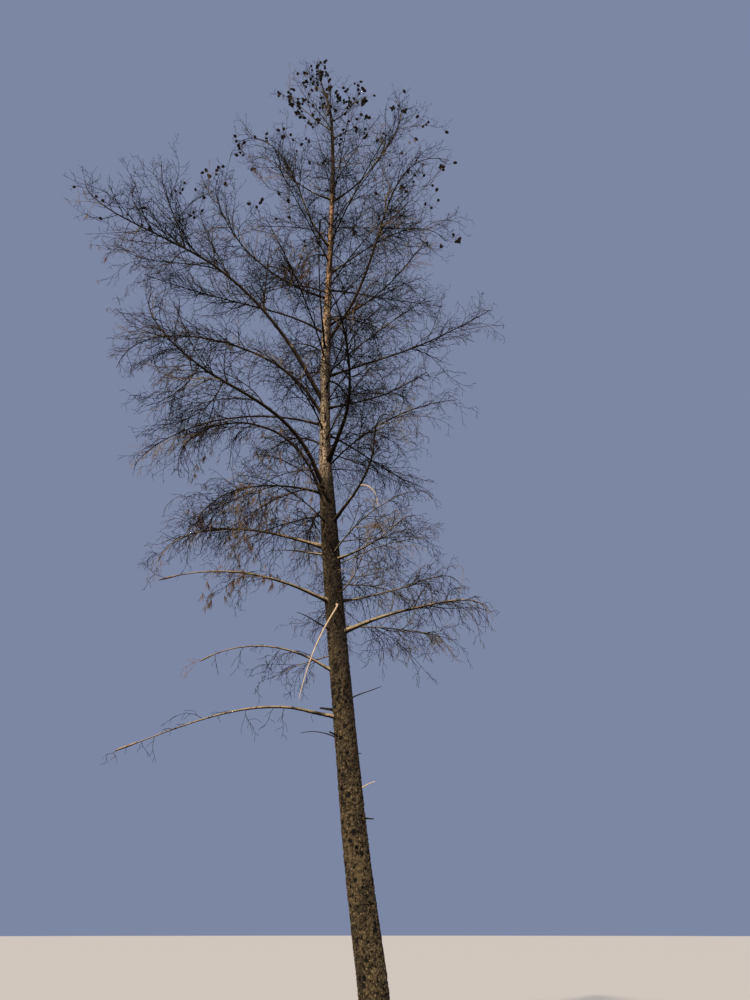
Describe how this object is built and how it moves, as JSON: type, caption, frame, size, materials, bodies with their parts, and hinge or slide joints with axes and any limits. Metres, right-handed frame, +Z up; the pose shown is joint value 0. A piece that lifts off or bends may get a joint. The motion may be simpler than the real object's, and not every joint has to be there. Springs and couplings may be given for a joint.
{
  "type": "fire-killed pine tree",
  "caption": "Dead standing pine with a slim leaning trunk, bare curving limbs and open masses of fine leafless twigs, rooted at a flat cut.",
  "frame": {"origin": "middle of the flat cut at ground level, at the ground mount", "axes": "+Z up the tree, +X to the right and +Y away as the picture's camera sees it"},
  "size_m": [6.4941, 5.3678, 16.2],
  "materials": {
    "trunk_bark": "rough charred pine bark, tan to orange higher up",
    "limb_bark": "rough scorched bark on bare limbs",
    "twigs": "open lacework of dry twigs with cones and a few brown needles"
  },
  "bodies": {
    "root": {"bough_back_1": "limb_bark", "bough_back_2": "limb_bark", "bough_back_3": "limb_bark", "bough_front_1": "limb_bark", "bough_left_1": "limb_bark", "bough_left_10": "limb_bark", "bough_left_11": "limb_bark", "bough_left_12": "limb_bark", "bough_left_13": "limb_bark", "bough_left_14": "limb_bark", "bough_left_2": "limb_bark", "bough_left_3": "limb_bark", "bough_left_4": "limb_bark", "bough_left_5": "limb_bark", "bough_left_6": "limb_bark", "bough_left_7": "limb_bark", "bough_left_8": "limb_bark", "bough_left_9": "limb_bark", "bough_right_1": "limb_bark", "bough_right_10": "limb_bark", "bough_right_11": "limb_bark", "bough_right_12": "limb_bark", "bough_right_13": "limb_bark", "bough_right_2": "limb_bark", "bough_right_3": "limb_bark", "bough_right_4": "limb_bark", "bough_right_5": "limb_bark", "bough_right_6": "limb_bark", "bough_right_7": "limb_bark", "bough_right_8": "limb_bark", "bough_right_9": "limb_bark", "trunk": "trunk_bark", "twigs_back_1": "twigs", "twigs_back_2": "twigs", "twigs_left_10": "twigs", "twigs_left_11": "twigs", "twigs_left_12": "twigs", "twigs_left_13": "twigs", "twigs_left_14": "twigs", "twigs_left_4": "twigs", "twigs_left_5": "twigs", "twigs_left_6": "twigs", "twigs_left_7": "twigs", "twigs_left_8": "twigs", "twigs_left_9": "twigs", "twigs_left_upper": "twigs", "twigs_right_1": "twigs", "twigs_right_10": "twigs", "twigs_right_11": "twigs", "twigs_right_12": "twigs", "twigs_right_13": "twigs", "twigs_right_2": "twigs", "twigs_right_3": "twigs", "twigs_right_4": "twigs", "twigs_right_5": "twigs", "twigs_right_6": "twigs", "twigs_right_7": "twigs", "twigs_right_8": "twigs", "twigs_right_9": "twigs", "twigs_top": "twigs"}
  },
  "joints": []
}
